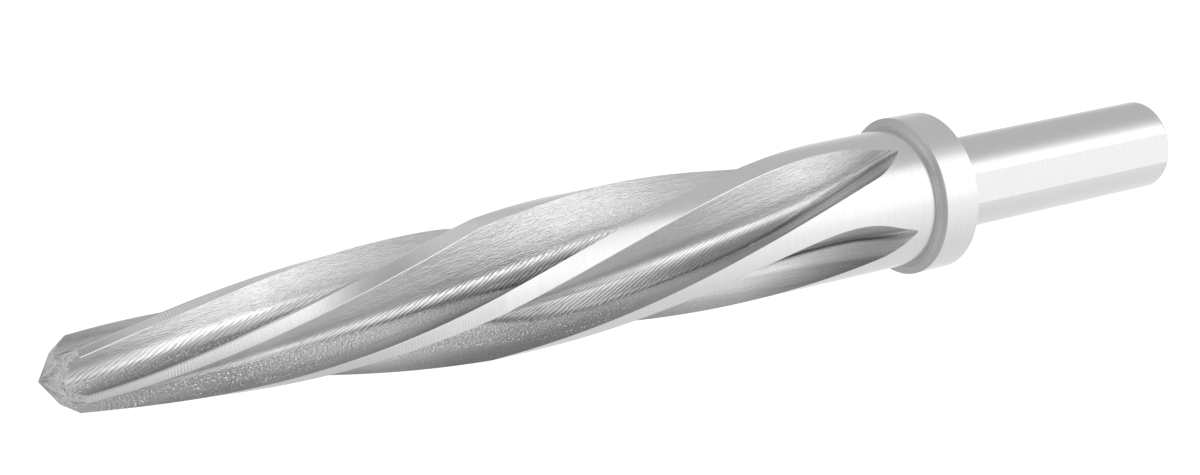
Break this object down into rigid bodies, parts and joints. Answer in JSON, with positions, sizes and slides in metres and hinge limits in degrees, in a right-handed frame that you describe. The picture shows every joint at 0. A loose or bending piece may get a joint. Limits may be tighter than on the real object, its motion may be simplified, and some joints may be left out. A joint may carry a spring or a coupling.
{
  "type": "construction reamer",
  "caption": "Tapered bridge reamer with left-hand spiral flutes, a stop collar and a three-flat shank.",
  "frame": {"origin": "centre of the flat end of the shank, on which the tool stands", "axes": "+Z along the tool's axis towards the point, +X out of one of the three shank flats"},
  "size_m": [0.0217, 0.0216, 0.1628],
  "materials": {
    "steel": "bright tool steel, ground on the outside and milled in the flutes"
  },
  "bodies": {
    "root": {"reamer": "steel"}
  },
  "joints": []
}
